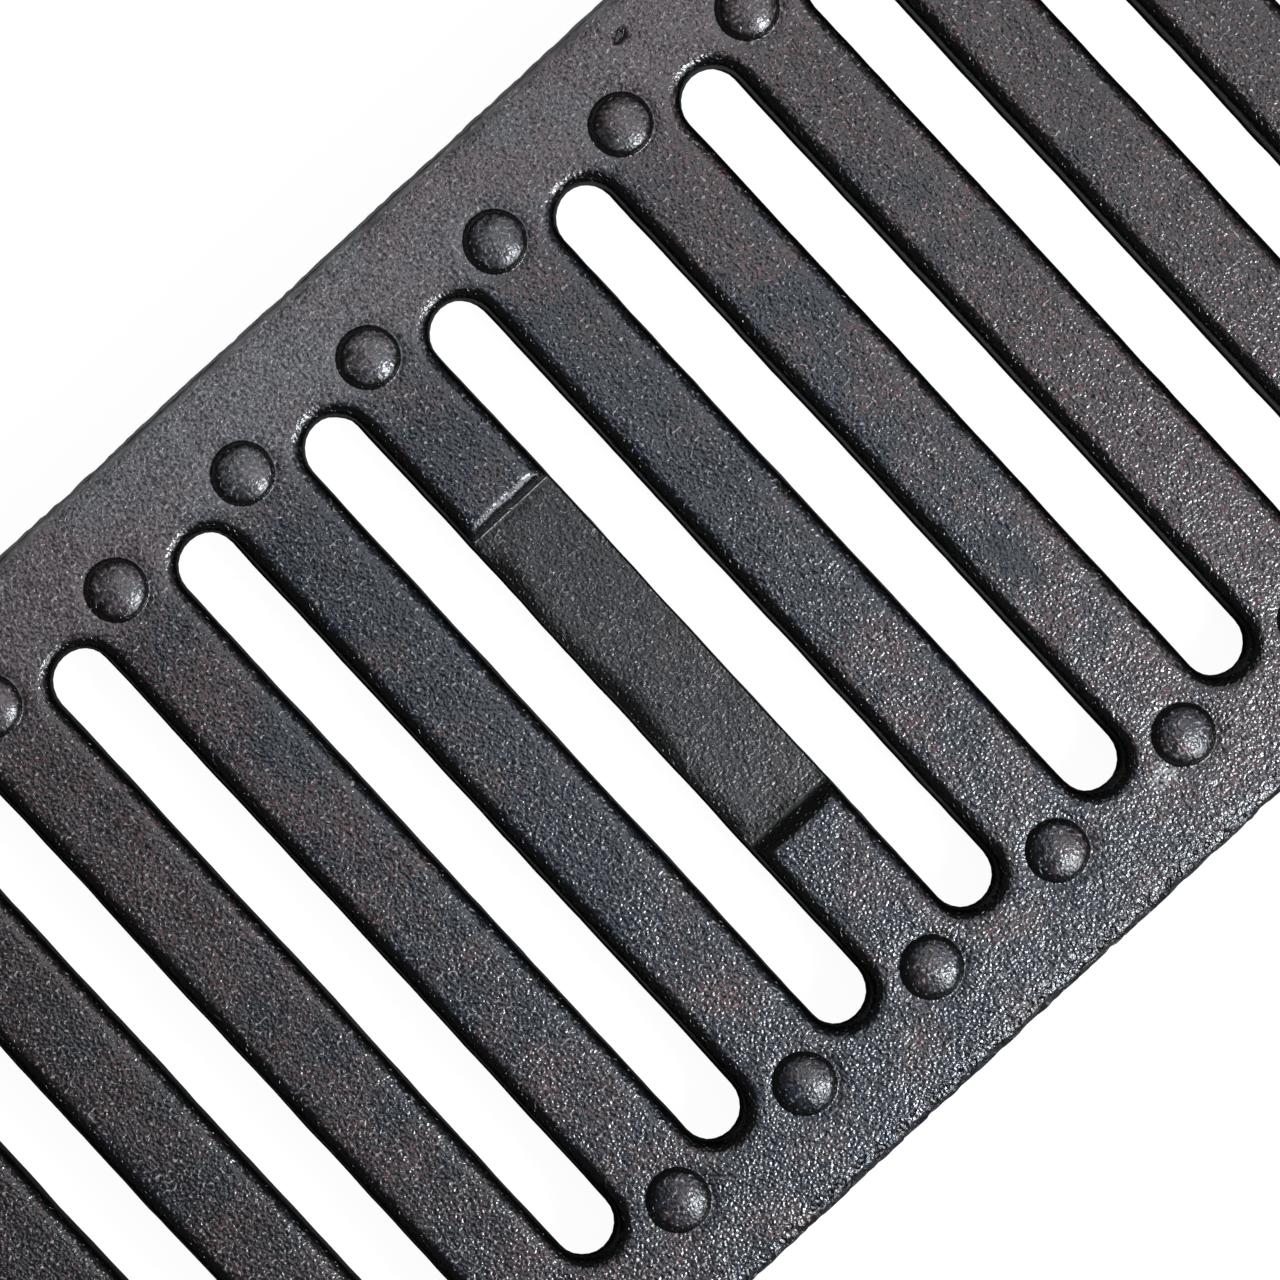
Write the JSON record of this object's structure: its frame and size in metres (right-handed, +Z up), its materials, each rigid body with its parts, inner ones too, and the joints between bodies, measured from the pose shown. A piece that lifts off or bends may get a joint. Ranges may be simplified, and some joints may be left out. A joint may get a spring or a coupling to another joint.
{
  "type": "channel drain grate",
  "caption": "Long cast iron drainage channel grate with round-ended cross slots, a row of low round grip studs along each side rim and a shallow sunken panel in its middle bar.",
  "frame": {"origin": "middle of the underside, at the bottom centre of the grate's box", "axes": "+X along the channel, +Y across it, +Z up out of the walking face"},
  "size_m": [0.6096, 0.1366, 0.0206],
  "materials": {
    "black_iron": "satin black dip coat over sand-cast iron, fine grain"
  },
  "bodies": {
    "root": {"grate": "black_iron"}
  },
  "joints": []
}
